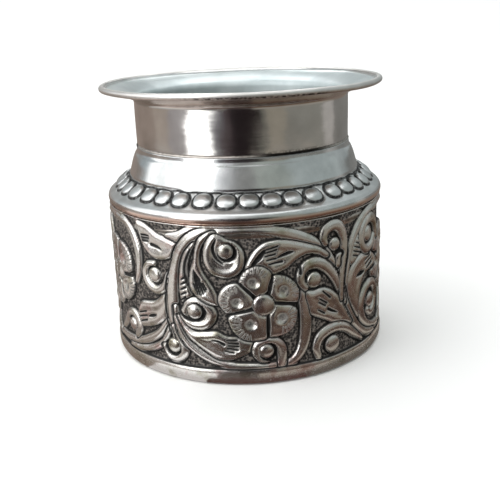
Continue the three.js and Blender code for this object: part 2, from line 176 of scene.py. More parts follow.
scrollA = [
    # trunk on the left, its side stems, and the arch over the flower
    ("leaf", [(-15, 43.3), (-18.5, 41.7), (-22.5, 40.6), (-20.5, 39.8), (-17.5, 39), (-16, 40), (-12, 42),
        (-10.5, 43.3)]),
    ("vine", [(-20.3, 9, 0.7), (-20.8, 13, 1.2), (-21.4, 18, 1.6), (-21.4, 24, 1.6), (-20.7, 29, 1.45),
        (-19.5, 33.5, 1.25), (-17.5, 37.7, 1.2), (-14, 40.8, 1.3), (-9, 42.2, 1.2), (-3, 42.7, 0.85),
        (3, 42.6, 0.9), (9, 41.4, 1.2), (14, 39.5, 1.5), (18.5, 36.6, 1.7), (22.5, 32.6, 1.6),
        (25.3, 28, 1.3), (27.3, 22.5, 1.1), (30, 16, 1.1), (33.7, 10.6, 1.1), (38.5, 6.6, 1),
        (45, 4.8, 0.7)]),
    # volute at the foot of the trunk
    ("vine", [(-21.6, 15.5, 0.3), (-20.2, 13, 0.7), (-18.9, 10.6, 1.1), (-18.8, 8, 1.2), (-20.7, 6.2, 1.1),
        (-23.4, 6.4, 1), (-24.9, 8.8, 0.8)]),
    ("knob", (-21.9, 9.6, 2.15, 250, 0.9)),
    # slender slip beside the first leaf
    ("leaf", [(-13.9, 39.2), (-16.4, 36.6), (-17.8, 33.5), (-18.6, 29.5), (-18.8, 25.5), (-18.2, 22.8),
        (-16.6, 22.4), (-15.4, 24.6), (-16.2, 28.5), (-16.5, 31.5), (-16, 34.5), (-15, 37)]),
    ("cut", [(-18.3, 23.4, 0.1), (-17, 24.3, 0.2)], [(-18.5, 24.8, 0.1), (-16.9, 25.6, 0.2)],
        [(-18.5, 26.2, 0.1), (-16.9, 27, 0.2)], [(-18.4, 27.6, 0.1), (-17.1, 28.3, 0.2)],
        [(-18.2, 29, 0.1), (-17.2, 29.6, 0.2)],
        [(-15, 37.6, 0.1), (-16.6, 34, 0.2), (-17, 31, 0.2), (-16.4, 27.6, 0.1)]),
    # left volute
    ("scroll", [(-20, 19.6), (-18, 16.9), (-15.5, 15.4), (-12, 15.6), (-9.6, 17.5), (-8.8, 20), (-9.8, 22),
        (-12, 23.8), (-15, 24.2), (-17.3, 22.8), (-18.6, 20.6)]),
    ("knob", (-14.9, 20.3, 2.2, -10, 1)),
    ("cut", [(-19.2, 20.6, 0.1), (-17.6, 18.6, 0.3), (-15.4, 17.6, 0.1)]),
    # first leaf, with its eye
    ("leaf", [(-9.2, 42.3), (-12.2, 40.5), (-13.6, 37.5), (-14.2, 34.5), (-15.3, 31.5), (-15.7, 28.5),
        (-15, 26), (-13.2, 24.4), (-10.6, 23), (-8.4, 22.5), (-8.2, 23.6), (-9.2, 26.5), (-10.7, 29),
        (-12.3, 31.5), (-13, 34), (-12.6, 37.2), (-11.2, 39.8), (-8.2, 41.9)]),
    ("cut", [(-14.3, 32, 0.05), (-13.8, 30.4, 0.5), (-13.4, 29.3, 0.85)],
        [(-14.5, 28.2, 0.15), (-13.4, 25.3, 0.1)], [(-13.8, 28.1, 0.2), (-12.6, 25.2, 0.1)],
        [(-13.1, 28.2, 0.2), (-11.9, 25.6, 0.1)], [(-12.5, 28.4, 0.2), (-11.3, 26.2, 0.1)],
        [(-11.9, 28.6, 0.15), (-10.9, 26.8, 0.1)]),
    # lower stem, from the trunk under the flower and up its right side
    ("vine", [(-20.4, 21, 0.5), (-19.8, 16, 0.8), (-18, 12, 0.9), (-14.4, 8.8, 0.9), (-10, 6.6, 0.9),
        (-5, 5.4, 0.7), (1, 5.1, 0.6), (7, 5, 0.7), (11, 5.4, 0.9), (13.4, 7.2, 1.2), (14.9, 10.5, 1.4),
        (15.5, 15, 1.5), (15.2, 20, 1.3), (14.3, 24, 0.9), (12.7, 27.4, 0.4)]),
    # second leaf
    ("leaf", [(-19.9, 18.9), (-18, 16), (-15.3, 14.4), (-12, 14.6), (-9, 14.8), (-6.5, 13.6), (-3.5, 13.3),
        (0, 12.3), (1.2, 11.2), (0.2, 9.7), (-2, 8.5), (-5, 7.3), (-8.6, 7.5), (-11.5, 9), (-14.5, 11),
        (-17.2, 13.4)]),
    ("cut", [(-10.4, 12.6, 0.05), (-8.6, 12.4, 0.2), (-7.1, 11.6, 0.4)],
        [(-6.3, 12.9, 0.1), (-3.6, 12.9, 0.15)], [(-6, 12.1, 0.1), (-3.2, 12, 0.15)],
        [(-6, 11.3, 0.1), (-3.2, 11.1, 0.15)], [(-6.3, 10.5, 0.1), (-3.4, 10.1, 0.15)],
        [(-6.9, 9.7, 0.1), (-4.4, 9.3, 0.1)]),
    # volute under the flower
    ("vine", [(8.3, 5, 0.9), (8.6, 8, 1.1), (7.8, 10.6, 1.2), (5.8, 12, 1.15), (3.4, 11.9, 1.1),
        (1.7, 10.6, 1), (1.6, 8.7, 0.9), (2.8, 7.2, 0.8), (4.4, 6.8, 0.5)]),
    ("knob", (4.2, 9.3, 2.1, -15, 0.9)),
    # big volute, hanging from the arch
    ("scroll", [(-9, 41.4), (-11.2, 38.2), (-11.5, 35), (-10.6, 32.4), (-9, 30.8), (-6.2, 30), (-3.4, 30.6),
        (-1.5, 32.5), (-0.9, 35.3), (-1.4, 37.6), (-3, 39.3), (-5.2, 40.2), (-6.8, 41.2)]),
    ("knob", (-5.6, 37.1, 2.1, -35, 0.9)),
    ("cut", [(-8, 40.3, 0.1), (-8.9, 38, 0.3), (-8.2, 35.4, 0.25), (-6.4, 33.8, 0.1)]),
    # third leaf, over the flower
    ("leaf", [(19.5, 36), (16, 37.4), (13, 38.4), (10, 39.1), (7.3, 39.3), (4.5, 38.8), (2.2, 37.2),
        (0.6, 35), (-0.5, 32.2), (0.8, 32.6), (2.2, 33.4), (3.8, 33.2), (5, 32.2), (6.2, 30.8), (8, 31.1),
        (10.5, 32.1), (13, 33.9), (16, 34.9), (19.5, 34.4), (21.5, 33.2), (22.5, 33.6)]),
    ("cut", [(8, 35.1, 0.15), (10.2, 35.8, 0.35), (12, 36.1, 0.1)], [(4.6, 37.3, 0.1), (7.9, 38.1, 0.15)],
        [(4.4, 36.4, 0.1), (7.6, 37.1, 0.15)], [(4.6, 35.5, 0.1), (7.3, 36, 0.15)],
        [(4.9, 34.5, 0.1), (7.4, 34.8, 0.15)], [(5.4, 33.4, 0.1), (9, 33.9, 0.2)],
        [(1.4, 33.6, 0.4), (3.2, 35.6, 0.6), (4.2, 37, 0.3)]),
    # volute inside the arch, on the right
    ("vine", [(28.3, 19, 0.5), (26.8, 23, 0.9), (24.9, 26.7, 1.1), (22.4, 29.8, 1.25), (19.4, 31.7, 1.35),
        (16.4, 31.7, 1.25), (14.4, 30, 1.05), (14.2, 27.6, 0.85), (15.5, 25.6, 0.6)]),
    ("knob", (18.1, 27.4, 2.25, 80, 0.3)),
    ("cut", [(14.1, 31.6, 0.1), (13.9, 29.9, 0.3)]),
    # fourth leaf
    ("leaf", [(15.7, 24.1), (18, 24.2), (20.5, 24.5), (23, 23.6), (25.5, 21.6), (27.5, 18.6), (29.6, 15),
        (31.2, 12), (28.2, 12.4), (25.5, 13.3), (22.5, 15), (19.5, 16.6), (17.2, 18), (16.5, 20.5)]),
    ("cut", [(20.4, 23.9, 0.1), (22.9, 21.6, 0.2)], [(19.4, 21.9, 0.1), (21.9, 20.2, 0.15)],
        [(19.2, 20.9, 0.1), (21.4, 19.5, 0.15)], [(18.9, 18.9, 0.1), (21, 17.5, 0.15)],
        [(22.3, 18.4, 0.3), (23.8, 17.5, 0.25), (25.6, 16.6, 0.05)]),
    # volute at the foot, right
    ("vine", [(36.5, 5.4, 0.4), (32.6, 8.2, 0.9), (29.4, 10.8, 1.1), (26, 12.2, 1.25), (22.4, 12, 1.3),
        (19.6, 10.4, 1.2), (18.6, 7.8, 1), (19.2, 5.4, 0.8)]),
    ("knob", (24, 7.6, 2.6, 170, 0.4)),
    # bud at the top, right
    ("vine", [(27.2, 20, 0.4), (27.3, 25, 0.6), (27.7, 29, 0.8), (28.4, 33, 1), (28.3, 37, 1.25),
        (27, 39.9, 1.35), (24.5, 41.1, 1.3), (22, 40.2, 1.2), (21.2, 38.4, 0.95), (21.7, 36.7, 0.6)]),
    ("knob", (24.8, 35.9, 1.9, 20, 0.5)),
    ("vine", [(26, 30, 0.6), (26.2, 32, 0.6), (26.9, 33, 0.5)]),
    ("cut", [(25.8, 33.2, 0.15), (26.8, 33.6, 0.2), (27.4, 32.9, 0.15), (26.9, 32.2, 0.1)]),
]

scrollB = [
    # stem at the left and the arch over the flower, down the right side
    ("vine", [(-20.9, 12, 0.5), (-21.2, 18, 0.8), (-21, 25, 0.9), (-19.8, 31.2, 1), (-17.6, 35.8, 1.1),
        (-14.8, 38.9, 1.3), (-11, 41, 1.4), (-6, 42.1, 1.1), (0, 42.7, 0.8), (6, 42.3, 1), (10.2, 41.7, 1.1),
        (12.8, 40.4, 1.2), (14.8, 38.2, 1.2), (16.2, 35.2, 1.2), (16.6, 32, 1), (16.2, 28.5, 0.8),
        (15.2, 25.5, 0.4)]),
    ("leaf", [(-19, 29.5), (-18.2, 32.5), (-16.2, 35.4), (-14, 36.4), (-13.2, 34.6), (-13.7, 31.8),
        (-15.5, 30.2), (-17.5, 28.2)]),
    ("cut", [(-18.2, 31.2, 0.1), (-14.2, 29.9, 0.15)], [(-17.8, 32.3, 0.1), (-14, 31, 0.15)],
        [(-17.2, 33.4, 0.1), (-13.8, 32.1, 0.15)], [(-16.5, 34.4, 0.1), (-13.6, 33.2, 0.15)],
        [(-15.6, 35.3, 0.1), (-13.5, 34.4, 0.15)]),
    # leaf on the left
    ("leaf", [(-15.4, 12.5), (-17.4, 15.3), (-19.3, 19), (-20, 23), (-19.6, 26), (-17.8, 28.5), (-15, 30),
        (-11.5, 30.5), (-8, 29.6), (-5, 27.8), (-3.5, 26), (-6, 25), (-9, 24.6), (-11.5, 24.2),
        (-13.2, 22.6), (-14.5, 20), (-15, 16.5)]),
    ("cut", [(-16.2, 24.6, 0.1), (-14.4, 25, 0.5), (-12.6, 25.2, 0.1)],
        [(-11.2, 25.6, 0.1), (-7.4, 26.6, 0.2)], [(-11.4, 26.8, 0.1), (-7.8, 27.8, 0.2)],
        [(-11.8, 28, 0.1), (-9, 28.8, 0.2)]),
    # spiral low on the left
    ("vine", [(0, 5.6, 0.9), (-6, 6.5, 1.1), (-10.6, 9, 1.2), (-13, 12.5, 1.3), (-13.3, 16, 1.3),
        (-11.4, 19, 1.3), (-8, 20.2, 1.2), (-4.5, 19, 1.1), (-3, 15.6, 1), (-4.4, 12.2, 1),
        (-7.4, 11.2, 0.9), (-9.6, 12.6, 0.7)]),
    ("knob", (-7.6, 15.2, 2.3, 30, 0.7)),
    # volute high on the left
    ("vine", [(-3, 33, 0.6), (-4.4, 37.4, 1.1), (-7.6, 39.4, 1.3), (-11.2, 38.6, 1.3), (-13.4, 35.6, 1.2),
        (-12.9, 32.4, 1.1), (-10.2, 30.9, 1.1), (-7, 31.6, 1), (-5.6, 33.8, 0.6)]),
    ("knob", (-9.9, 35.3, 2.3, 20, 0.6)),
    # stem on the right, low
    ("vine", [(27.6, 22, 0.5), (26.4, 16.5, 0.8), (23.6, 12.6, 0.9), (19.6, 9.9, 1), (15, 7.8, 1),
        (8, 6.4, 1), (1, 6, 0.7)]),
    ("vine", [(27.2, 14.5, 0.4), (24.6, 10, 0.7), (20.4, 7.2, 0.8), (15, 5.6, 0.7), (9, 5, 0.4)]),
    # leaf on the right, low
    ("leaf", [(15.4, 18.4), (17, 20), (20, 20.6), (22.5, 21.3), (25, 23.2), (26.7, 26.2), (27.4, 28.6),
        (28.3, 25), (27.8, 21), (26, 17.6), (24, 15.6), (21.5, 14.2), (18, 13), (15.4, 12.8), (14.4, 15.2)]),
    ("cut", [(19.4, 16.3, 0.1), (21.2, 16.9, 0.35), (22.6, 17.3, 0.05)],
        [(15.4, 16.6, 0.1), (18.4, 17.5, 0.15)], [(15.6, 15.4, 0.1), (18.6, 16.3, 0.15)],
        [(16.2, 14.2, 0.1), (18.8, 15.1, 0.15)]),
    # volute on the right
    ("vine", [(27.7, 29.6, 0.6), (26.2, 26.2, 0.9), (23.2, 24.6, 1), (20.3, 26, 1.1), (19.2, 28.8, 1.1),
        (20.4, 31.2, 0.9), (22.8, 32, 0.6)]),
    ("knob", (22.9, 28.9, 2.2, 150, 0.4)),
    # leaf on the right, high
    ("leaf", [(16.6, 42.8), (18, 39.5), (19.5, 36.3), (22, 34.2), (24.5, 33.6), (27.5, 34.1), (30.5, 35.6),
        (32.6, 37.6), (31, 38.8), (28.5, 39.5), (25, 40.2), (23, 41.2), (20, 42.6), (18, 42.9)]),
    ("cut", [(22.5, 37.3, 0.35), (24.5, 37, 0.3), (26.2, 36.3, 0.05)], [(19, 39.6, 0.15), (21.8, 39.6, 0.1)],
        [(19, 38.8, 0.15), (21.8, 38.8, 0.1)], [(19.2, 38, 0.15), (21.6, 38, 0.1)]),
    # volute low in the middle
    ("vine", [(3.6, 8.8, 0.6), (6.2, 11, 0.9), (8.2, 13.6, 1), (11.2, 15.2, 1.1), (13.8, 14, 1.1),
        (14.6, 11.4, 1), (13, 9.2, 0.8)]),
    ("knob", (10.9, 11.7, 2, 120, 0.5)),
]

# which scroll stands where, counted in repeats from the front, the front one last so that it lies on top
scrolls = [(2, [*scrollA, *flower], False), (3, [*scrollA, *flower], False), (1, flower, True),
           (1, scrollB, False), (4, flower, True), (4, scrollB, False), (0, [*scrollA, *flower], False)]


def strokeGap(points, line):  # distance to the edge of a stroke, negative inside it
    a, b = line[:-1], line[1:]
    along = b[:, :2] - a[:, :2]
    t = ((points[:, None] - a[None, :, :2]) * along).sum(2) / (along ** 2).sum(1)
    t = t.clip(0, 1)
    width = a[:, 2] + t * (b[:, 2] - a[:, 2])
    gap = np.linalg.norm(points[:, None] - a[:, :2] - t[..., None] * along, axis=2) - width
    nearest = gap.argmin(1)[:, None]
    return np.take_along_axis(gap, nearest, 1)[:, 0], np.take_along_axis(width, nearest, 1)[:, 0]


def outlineGap(points, line):  # the same for a closed outline
    gap, _ = strokeGap(points, np.column_stack([line, np.zeros(len(line))]))
    x, z = points[:, :1], points[:, 1:]
    (ax, az), (bx, bz) = line[:-1].T, line[1:].T
    crossed = ((az > z) != (bz > z)) & (x < ax + (z - az) * (bx - ax) / np.where(bz == az, 1, bz - az))
    return np.where(crossed.sum(1) % 2, -gap, gap)


def domed(gap, span, rim, top):  # height of a rounded shape at this distance inside its edge
    t = np.clip(-gap / span, 0, 1)
    return rim + (top - rim) * (1 - (1 - t) ** 2) ** 0.85


def aimed(angle):  # a direction on the drawing, from degrees
    return np.array([math.cos(math.radians(angle)), math.sin(math.radians(angle))])


def around(points, middle, angle):  # distance from a middle, and how far each point lies that way from it
    off = points - middle
    facing = np.cos(np.arctan2(off[:, 1], off[:, 0]) - math.radians(angle))
    return off, np.linalg.norm(off, axis=1), facing


def raiseForm(kind, edge, p, height, line, dark):
    rim, span, hollow, grown = forms[kind]
    if kind == "vine":
        gap, width = strokeGap(p, edge)
        gap = gap - grown
        body = domed(gap, np.clip(width + grown, 0.6, span), rim, chasing["top"])
    else:
        gap = outlineGap(p, edge) - grown
        body = domed(gap, span, rim, chasing["top"]) - hollow * ramp(-gap, 1.3, 3.0)
    inside = gap < 0
    line = np.where(inside, 0.1 - gap, np.minimum(line, np.abs(gap - 0.1)))
    return np.where(inside, body, height), line, np.where(inside, 0, dark)


def raiseKnob(shape, p, height, line, dark):  # a knob in a hollow that is deepest on one side, its black oxide deepened there by painted shade
    k = knobs
    u, z, radius, angle, widen = shape
    hollow = np.array([u, z]) + widen / 2 * aimed(angle)
    ring = np.linalg.norm(p - hollow, axis=1) - radius - widen / 2
    _, d, facing = around(p, (u, z), angle)
    hollowed, inside = ring < 0, d < radius
    bottom = k["ring"] - k["ringFall"] * ramp(facing, -0.3, 0.6)
    height = np.where(hollowed, np.minimum(height, bottom), height)
    # painted shade: the hollow darker, and its outline blacker, towards the side where it is widest
    dark = np.where(hollowed, 0.45 + 0.55 * ramp(facing, -0.2, 0.7), dark)
    line = np.where(hollowed, 0.22 * ramp(-facing, -0.2, 0.8), np.minimum(line, ring + 0.2))
    ball = k["foot"] + (k["top"] - k["foot"]) * np.sqrt(1 - np.clip(d / radius, 0, 1) ** 2)
    height = np.where(inside, ball, height)
    return height, np.where(inside, radius - d + 0.12, line), np.where(inside, 0, dark)


def sinkDish(shape, p, height, line, dark):  # the punched eye of a petal, one side of its lip raised, with painted shade in its hollow
    s = dishes
    u, z, radius, angle = shape
    off, d, facing = around(p, (u, z), angle)
    lip = ramp(facing, 0.1, 0.9) * np.exp(-((d - radius) / s["lipWidth"]) ** 2)
    height = height - s["depth"] * ramp(radius - d, 0, radius * 0.9) + s["lip"] * lip
    # painted shade: a dark patch in the hollow, shifted away from the raised lip, and taken off the lip
    shadow = np.linalg.norm(off + s["shadowShift"] * aimed(angle), axis=1)
    dark = np.maximum(dark, 0.85 * ramp(radius * 0.8 - shadow, 0, 0.9))
    return height, line, np.clip(dark - lip, 0, 1)


def cutLine(kind, edge, p, height, line, dark):  # a chased line, or a finer one of a fan
    gap, _ = strokeGap(p, edge)
    if kind == "fan":
        height = height - cuts["fine"] * ramp(-gap, -0.15, 0.1)
        return height, line, np.maximum(dark, ramp(-gap, -0.14, 0.08))
    height = height - cuts["deep"] * ramp(-gap, -0.15, 0.3)
    line = np.minimum(line, np.maximum(gap + 0.1, 0))
    return height, line, np.maximum(dark, ramp(-gap, -0.1, 0.2))


def chase(relief, flat, kind, shape):  # works one shape into the sheet, over what is there
    if kind in ("knob", "dish"):
        edge, reach = np.array([shape[:2]]), 6
    elif kind in ("vine", "cut", "fan"):
        edge, reach = smoothLine(shape) if len(shape) > 2 else np.array(shape, float), 3
    else:
        edge, reach = smoothLine(shape, closed=True), 1.5
    low, high = edge[:, :2].min(0) - reach, edge[:, :2].max(0) + reach
    near = np.flatnonzero(((flat > low) & (flat < high)).all(1))
    if not len(near):
        return
    present = [relief[key][near] for key in ("height", "line", "dark")]
    if kind == "knob":
        worked = raiseKnob(shape, flat[near], *present)
    elif kind == "dish":
        worked = sinkDish(shape, flat[near], *present)
    elif kind in ("cut", "fan"):
        worked = cutLine(kind, edge, flat[near], *present)
    else:
        worked = raiseForm(kind, edge, flat[near], *present)
    for key, value in zip(("height", "line", "dark"), worked):
        relief[key][near] = value


def fanCuts(u, z, inner, outer, fromAngle, toAngle, count):
    for angle in np.linspace(fromAngle, toAngle, count):
        reaches = [(inner, 0.06), ((inner + outer) / 2, 0.14), (outer, 0.12)]
        yield [(*(aimed(angle) * reach + (u, z)), width) for reach, width in reaches]


def chasedRelief(azimuth, z):
    c = chasing
    n = len(z)
    relief = dict(height=np.full(n, c["ground"]), line=np.full(n, 9.0), dark=np.ones(n))
    for place, shapes, upsideDown in scrolls:
        u = (azimuth / (2 * math.pi) * turn - place * c["repeat"] + turn / 2) % turn - turn / 2
        flat = np.stack([u, c["mirror"] - z if upsideDown else z], 1)
        for kind, *alike in shapes:
            for shape in alike:
                for part in fanCuts(*shape) if kind == "fan" else [shape]:
                    chase(relief, flat, kind, part)
    relief["height"] -= c["groove"] * np.exp(-(relief["line"] / c["grooveWidth"]) ** 2)
    return relief


def printStage(text, piece):
    print(text, len(piece.data.vertices), "points")


wallSize = dict(columns=720, rowStep=0.345, radius=39.7, foot=40.1, top=43.7, footTop=4.6, bend=1.55,
                sheet=0.7, back=38.4, lap=39.0, flange=2.6, unevenness=0.07, sprung=0.08, fall=0.42)


def makeWall():
    w, bottom = wallSize, chasing["bottom"]
    footLine = [(w["radius"], w["footTop"]), (w["foot"], w["footTop"] - 1.0), (w["foot"], w["bend"] + 0.3)]
    outer = evenLine([(w["radius"], w["top"]), (w["radius"], w["footTop"])], w["rowStep"])
    outer += evenLine(footLine, 0.5)[1:]
    outer += arc(w["foot"] - w["bend"], w["bend"], w["bend"], 0, -90, 6)
    flangeEnd = w["foot"] - w["bend"] - w["flange"]
    inner = [(flangeEnd, 0), (flangeEnd, w["sheet"])]
    inner += arc(w["foot"] - w["bend"] - 0.3, w["sheet"] + 0.6, 0.6, -90, 0, 2)
    inner += [(w["back"], 6), (w["back"], 39.7), (w["lap"], 40.5), (w["lap"], w["top"]), outer[0]]
    wall = turnSection("chased_wall", outer + inner, w["columns"])
    azimuth, r, z = readPoints(wall)
    skin = (z > bottom - 0.4) & (r > w["radius"] - 0.2) & (z < w["top"] - 0.1)
    up = z[skin]
    relief = chasedRelief(azimuth[skin], up)
    within = ramp(up, bottom - 0.1, bottom + 0.5) * (1 - 0.25 * ramp(up, 40, 42.5))
    fall = w["fall"] * ramp(up, 41.7, 43.6) * ramp(relief["height"], -0.6, -0.1)
    r[skin] += relief["height"] * within + w["sprung"] - fall
    outside = r > w["radius"] - 1.6
    r = r + np.where(outside, w["unevenness"] * ripple(azimuth, z, 5, 16), 0)
    writePoints(wall, azimuth, r, z)
    dark, line = np.zeros(len(z)), np.full(len(z), 9.0)
    low = ramp(-relief["height"], 0.55, 0.85)
    dark[skin] = np.maximum(relief["dark"], low) * ramp(up, bottom - 0.1, bottom + 0.2)
    line[skin] = np.minimum(relief["line"], np.abs(up - bottom))
    # dark: black oxide in the ground and chased lines, with painted shade from the knobs' hollows and the
    # petals' eyes
    paint(wall, "dark", dark)
    paint(wall, "chasedLine", np.clip(line, 0, 3))
    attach(wall, "root")
    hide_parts("body_wall")
    printStage("wall chased", wall)
    return wall


shoulderSize = dict(beads=40, columns=800, pitch=35.9, beadWidth=5.4, beadLength=4.84, beadHeight=0.85,
                    beadLift=0.2, trench=0.3, trenchWidth=0.28,
                    slopeFrom=(33.5, 50.85), slopeTo=(38.25, 47.35))
# where the beads in front stand, degrees round from the front. The rest share what is left of the turn
seenBeads = [-55.2, -45.2, -36.6, -27.6, -17.7, -7.7, 1.7, 10.9, 19.9, 29.5, 40.3, 48.8]


def seamSoot(azimuth, z):  # soot round the neck's joint, thick at the front right and here and there behind
    thick = ramp(azimuth, 0.02, 0.25) * ramp(0.95 - azimuth, 0, 0.3)
    thick = np.maximum(thick, ramp(ripple(azimuth, 0 * z, 41, 60), 0.5, 1.1) * (np.abs(azimuth) > 1.3))
    return (0.12 + 0.88 * thick) * np.exp(-((z - 59.55) / (0.3 + 0.35 * thick)) ** 2)


def shoulderSection():
    s = shoulderSize
    band = [(30.63, 59.3), (30.66, 58.6), (30.74, 58.0), (30.95, 57.5), (31.3, 57.05), (31.62, 56.3),
            (31.95, 55.5), (32.3, 54.4), (32.66, 53.2), (32.95, 52.3), (33.15, 51.7), (33.2, 51.3),
            (33.32, 51.0)]
    band = [tuple(p) for p in smoothLine(band, 2)]
    slope = evenLine([band[-1], s["slopeTo"]], 0.29)
    edge = arc(37.95, 45.3, 1.9, 56, -45, 15)
    under = [(38.97, 43.85), (38.9, 43.6), (38.9, 41.3)]
    inside = [(38.2, 41.3), (38.2, 43.6), (37.9, 44.6), (37.2, 46.4), (36.2, 47.6), (33.0, 50.0),
              (32.4, 51.3), (31.9, 53.2), (31.2, 55.2), (30.62, 56.2), (30.55, 57.4), (30.55, 59.28)]
    return band + slope[1:] + edge + under + inside + [band[0]]


def makeShoulder():
    s = shoulderSize
    shoulder = turnSection("beaded_shoulder", shoulderSection(), s["columns"])
    azimuth, r, z = readPoints(shoulder)
    top, foot = np.array(s["slopeFrom"]), np.array(s["slopeTo"])
    along = (foot - top) / np.linalg.norm(foot - top)
    outward = np.array([-along[1], along[0]])
    middle = (top + foot) / 2
    down = (r - middle[0]) * along[0] + (z - middle[1]) * along[1]
    off = (r - middle[0]) * outward[0] + (z - middle[1]) * outward[1]
    hidden = np.linspace(seenBeads[-1], seenBeads[0] + 360, s["beads"] - len(seenBeads) + 2)[1:-1]
    apart = (azimuth[:, None] - np.radians([*seenBeads, *hidden]) + math.pi) % (2 * math.pi) - math.pi
    nearest = np.abs(apart).argmin(1)
    side = np.take_along_axis(apart, nearest[:, None], 1)[:, 0] * s["pitch"]
    lower, wider, longer = np.random.default_rng(8).normal(0, 1, (3, s["beads"]))[:, nearest]
    fall = down + s["beadLift"] - 0.1 * lower
    width = s["beadWidth"] / 2 * (1 + 0.03 * wider)
    length = s["beadLength"] / 2 * (1 + 0.02 * longer)
    q = (np.abs(side / width) ** 2.4 + np.abs(fall / length) ** 2.4) ** (1 / 2.4)
    near = (np.abs(down) < 3.4) & (np.abs(off) < 0.5) & (z > 46.3)
    dome = s["beadHeight"] * np.sqrt(np.clip(1 - q ** 2, 0, 1)) ** 1.2
    gap = (q - 1) * (width + length) / 2
    trench = -s["trench"] * np.exp(-((gap - 0.05) / s["trenchWidth"]) ** 2)
    lift = np.where(near, np.where(q < 1, dome, 0) + trench - 0.06, 0)
    r, z = r + lift * outward[0], z + lift * outward[1]
    outer = r > 30.6
    r = r + np.where(outer & (z > 43), 0.05 * ripple(azimuth, z, 3, 14), 0)
    writePoints(shoulder, azimuth, r, z)
    line = np.where(near, np.abs(gap), 9.0)
    topLine = np.abs(down + 2.95 + 0.1 * ripple(azimuth, z * 0, 21, 5))
    line = np.where(np.abs(off) < 1.2, np.minimum(line, topLine), line)
    paint(shoulder, "chasedLine", np.clip(line, 0, 3))
    paint(shoulder, "dark", np.where(near, ramp(-lift, 0.1, 0.3), 0))
    # painted brown reflection under the rounded edge, stronger towards its lower side
    paint(shoulder, "underEdge", np.where(outer, ramp(45.9 - z, 0, 1.1), 0))
    paint(shoulder, "beadZone", np.where(outer, ramp(51.2 - z, 0, 0.6) * ramp(z, 45.6, 46.4), 0))
    paint(shoulder, "seam", np.where(outer, seamSoot(azimuth, z), 0))
    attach(shoulder, "root")
    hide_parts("shoulder")
    printStage("shoulder beaded", shoulder)
    return shoulder


neckSize = dict(columns=320, sheet=0.5, radius=30.5, bottom=55.3, top=76.6, rim=40.0, flare=19, bow=0.24,
                fillet=1.65, crease=38, creaseDepth=0.6, roll=265, wire=0.35, clearance=0.02)


def neckMiddleLine():  # from the neck's foot up, out along the flare, and round the wire
    n = neckSize
    rollRadius = n["wire"] + n["clearance"] + n["sheet"] / 2
    rollR, rollZ = n["rim"] - rollRadius - n["sheet"] / 2, n["top"] - rollRadius - n["sheet"] / 2
    middle = n["radius"] - n["sheet"] / 2
    flare, steep = math.radians(n["flare"]), math.radians(n["flare"] + n["crease"])
    rollStart = 90 + n["flare"] + n["crease"]
    roll = arc(rollR, rollZ, rollRadius, rollStart, rollStart - n["roll"], 18)
    rise = n["creaseDepth"] / math.sin(math.radians(n["crease"]))
    crease = (roll[0][0] - rise * math.cos(steep), roll[0][1] - rise * math.sin(steep))
    corner = crease[1] - (crease[0] - middle) * math.tan(flare)
    back = n["fillet"] * math.tan((math.pi / 2 - flare) / 2)
    bend = arc(middle + n["fillet"], corner - back, n["fillet"], 180, 90 + n["flare"], 8)
    upright = evenLine([(middle, n["bottom"]), bend[0]], 0.8)
    straight = evenLine([bend[-1], crease], 0.6)[1:]
    across = [(p[0] - bend[-1][0]) / (crease[0] - bend[-1][0]) for p in straight]
    bowed = [(p[0], p[1] + 4 * n["bow"] * t * (1 - t)) for p, t in zip(straight, across)]
    return upright + bend[1:] + bowed + roll


def makeNeck():
    n = neckSize
    neck = turnSection("spun_neck", sheetSection(neckMiddleLine(), n["sheet"]), n["columns"])
    azimuth, r, z = readPoints(neck)
    z = z + ramp(z, 70, 74) * 0.08 * ripple(azimuth, 0 * z, 11, 30)
    r = r + (0.05 * ripple(azimuth, z, 12, 30) + 0.03 * ripple(azimuth, z, 13, 10)) * ramp(z, 60, 62)
    writePoints(neck, azimuth, r, z)
    normal = np.empty(len(z) * 3)
    neck.data.vertices.foreach_get("normal", normal)
    nx, ny, nz = normal.reshape(-1, 3).T
    out = nx * np.sin(azimuth) - ny * np.cos(azimuth)
    inside = np.where(z < 72.5, ramp(-out, -0.2, 0.4), ramp(nz, 0.2, 0.7) * ramp(38.0 - r, -0.5, 0.3))
    sootyFront = 0.15 + 0.85 * ramp(azimuth, -0.42, -0.2) * ramp(0.64 - azimuth, 0, 0.15)
    lip = np.exp(-((z - 75.28) / 0.26) ** 2) * (r > 39.2) * sootyFront
    paint(neck, "inside", inside)
    # painted brown shade on the downward face under the flare
    paint(neck, "underFlare", ramp(-nz, 0.2, 0.7) * ramp(z, 70, 72.5))
    paint(neck, "crevice", np.maximum(lip, np.where(out > 0, seamSoot(azimuth, z), 0)))
    paint(neck, "dull", np.maximum(ramp(-out, 0.2, 0.8) * (z < 73.2), 0.5 * (r > 38.5)))
    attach(neck, "root")
    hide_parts("neck_collar")
    printStage("neck spun", neck)
    return neck


wireSize = dict(ring=39.13, height=75.73, radius=0.35)


def makeWire():
    s = wireSize
    bpy.ops.object.select_all(action="DESELECT")
    bpy.ops.mesh.primitive_torus_add(location=(0, 0, 0), major_radius=s["ring"] * mm,
                                     minor_radius=s["radius"] * mm, major_segments=256, minor_segments=12)
    wire = bpy.context.object
    bpy.ops.object.mode_set(mode="EDIT")
    bpy.ops.mesh.select_all(action="SELECT")
    bpy.ops.transform.translate(value=(0, 0, s["height"] * mm))
    bpy.ops.object.mode_set(mode="OBJECT")
    bpy.ops.object.shade_smooth()
    wire.name = wire.data.name = "drawn_rim_wire"
    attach(wire, "root")
    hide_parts("rim_wire")
    return wire


plateSize = dict(radius=37.5, low=0.78, high=1.58, step=1.2, dent=0.12)


